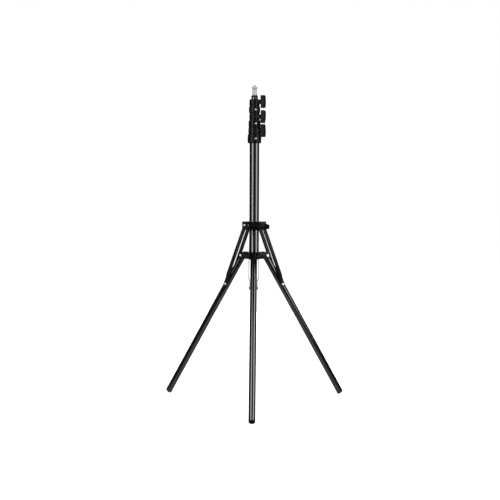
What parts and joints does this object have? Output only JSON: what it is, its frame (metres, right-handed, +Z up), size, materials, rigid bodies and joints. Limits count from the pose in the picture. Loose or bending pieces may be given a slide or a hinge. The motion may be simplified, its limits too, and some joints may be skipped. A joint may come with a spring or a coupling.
{
  "type": "lighting stand",
  "caption": "Telescopic lighting stand with nested riser tubes, knob-tightened clamp collars, reverse-folding tripod legs on straps and a grooved mounting spigot.",
  "frame": {"origin": "on the column's axis, on the floor that the three feet stand on", "axes": "+Z up along the column towards the spigot; the first leg points along -Y"},
  "size_m": [0.541, 0.4712, 0.9229],
  "materials": {
    "column_black": "gloss black anodised",
    "leg_black": "satin black anodised",
    "strap_black": "satin black powder coat",
    "hub_plastic": "fine-grained black nylon",
    "collar_plastic": "satin black nylon",
    "knob_plastic": "fine-textured black plastic",
    "end_plastic": "moulded black plastic",
    "nylon": "natural nylon",
    "zinc_steel": "zinc-plated steel",
    "brass": "turned brass",
    "spigot_steel": "satin chrome on turned steel"
  },
  "bodies": {
    "base": {"column_tube": "column_black", "column_plug": "end_plastic", "base_hub": "hub_plastic", "hub_screw": "zinc_steel", "hub_rivets": "zinc_steel", "hub_bolt": "zinc_steel", "hub_nut": "zinc_steel", "collar_3_body": "collar_plastic", "collar_3_rivet": "zinc_steel", "collar_3_insert": "brass", "collar_3_pad": "nylon"},
    "knob_3": {"collar_3_screw": "zinc_steel", "collar_3_knob": "knob_plastic"},
    "riser_1": {"riser_1_tube": "column_black", "riser_1_foot": "nylon", "collar_2_body": "collar_plastic", "collar_2_rivet": "zinc_steel", "collar_2_insert": "brass", "collar_2_pad": "nylon"},
    "knob_2": {"collar_2_screw": "zinc_steel", "collar_2_knob": "knob_plastic"},
    "riser_2": {"riser_2_tube": "column_black", "riser_2_foot": "nylon", "collar_1_body": "collar_plastic", "collar_1_rivet": "zinc_steel", "collar_1_insert": "brass", "collar_1_pad": "nylon"},
    "knob_1": {"collar_1_screw": "zinc_steel", "collar_1_knob": "knob_plastic"},
    "riser_3": {"riser_3_tube": "column_black", "riser_3_foot": "nylon", "top_cap": "end_plastic", "spigot": "spigot_steel", "spigot_pin": "zinc_steel"},
    "slider": {"slider_body": "hub_plastic", "slider_bush": "nylon", "slider_rivets": "zinc_steel", "slider_spacers": "end_plastic", "slider_insert": "brass", "slider_pad": "nylon"},
    "slider_knob": {"slider_screw": "zinc_steel", "slider_knob": "knob_plastic"},
    "leg_1": {"leg_1_tube": "leg_black", "leg_1_plug": "end_plastic", "leg_1_foot": "end_plastic", "leg_1_strut_pin": "zinc_steel"},
    "strut_1": {"strut_1_straps": "strap_black", "strut_1_rivets": "zinc_steel"},
    "leg_2": {"leg_2_tube": "leg_black", "leg_2_plug": "end_plastic", "leg_2_foot": "end_plastic", "leg_2_strut_pin": "zinc_steel"},
    "strut_2": {"strut_2_straps": "strap_black", "strut_2_rivets": "zinc_steel"},
    "leg_3": {"leg_3_tube": "leg_black", "leg_3_plug": "end_plastic", "leg_3_foot": "end_plastic", "leg_3_strut_pin": "zinc_steel"},
    "strut_3": {"strut_3_straps": "strap_black", "strut_3_rivets": "zinc_steel"}
  },
  "joints": [
    {"name": "riser_1_slide", "type": "slide", "parent": "base", "child": "riser_1", "axis": [0, 0, 1], "range_m": [0, 0.3219]},
    {"name": "riser_2_slide", "type": "slide", "parent": "riser_1", "child": "riser_2", "axis": [0, 0, 1], "range_m": [0, 0.3195]},
    {"name": "riser_3_slide", "type": "slide", "parent": "riser_2", "child": "riser_3", "axis": [0, 0, 1], "range_m": [0, 0.3171]},
    {"name": "knob_3_turn", "type": "hinge", "parent": "base", "child": "knob_3", "pos_m": [0.01706, -0.00985, 0.79192], "axis": [0.866, -0.5, 0], "range_deg": [0, 360]},
    {"name": "knob_2_turn", "type": "hinge", "parent": "riser_1", "child": "knob_2", "pos_m": [0.01706, -0.00985, 0.83192], "axis": [0.866, -0.5, 0], "range_deg": [0, 360]},
    {"name": "knob_1_turn", "type": "hinge", "parent": "riser_2", "child": "knob_1", "pos_m": [0.01706, -0.00985, 0.87492], "axis": [0.866, -0.5, 0], "range_deg": [0, 360]},
    {"name": "slider_lift", "type": "slide", "parent": "base", "child": "slider", "axis": [0, 0, 1], "range_m": [0, 0.20022]},
    {"name": "slider_knob_turn", "type": "hinge", "parent": "slider", "child": "slider_knob", "pos_m": [0.01706, -0.00985, 0.51742], "axis": [0.866, -0.5, 0], "range_deg": [0, 360]},
    {"name": "leg_1_fold", "type": "hinge", "parent": "base", "child": "leg_1", "pos_m": [0, -0.0384, 0.43022], "axis": [-1, 0, 0], "range_deg": [0, 148.1]},
    {"name": "strut_1_swing", "type": "hinge", "parent": "slider", "child": "strut_1", "pos_m": [0, -0.023, 0.51902], "axis": [-1, 0, 0], "range_deg": [-16.86, 0]},
    {"name": "leg_2_fold", "type": "hinge", "parent": "base", "child": "leg_2", "pos_m": [0.03325, 0.0192, 0.43022], "axis": [0.5, -0.866, 0], "range_deg": [0, 148.12]},
    {"name": "strut_2_swing", "type": "hinge", "parent": "slider", "child": "strut_2", "pos_m": [0.01992, 0.0115, 0.51902], "axis": [0.5, -0.866, 0], "range_deg": [-16.86, 0]},
    {"name": "leg_3_fold", "type": "hinge", "parent": "base", "child": "leg_3", "pos_m": [-0.03325, 0.0192, 0.43022], "axis": [0.5, 0.866, 0], "range_deg": [0, 148.12]},
    {"name": "strut_3_swing", "type": "hinge", "parent": "slider", "child": "strut_3", "pos_m": [-0.01992, 0.0115, 0.51902], "axis": [0.5, 0.866, 0], "range_deg": [-16.86, 0]}
  ],
  "couplings": [
    {"joint": "leg_2_fold", "follows": "leg_1_fold", "ratio": 1},
    {"joint": "leg_3_fold", "follows": "leg_1_fold", "ratio": 1},
    {"joint": "slider_lift", "follows": "leg_1_fold", "m_per_rad": 0.077439},
    {"joint": "strut_1_swing", "follows": "leg_1_fold", "ratio": -0.11368},
    {"joint": "strut_2_swing", "follows": "leg_1_fold", "ratio": -0.11368},
    {"joint": "strut_3_swing", "follows": "leg_1_fold", "ratio": -0.11368}
  ]
}
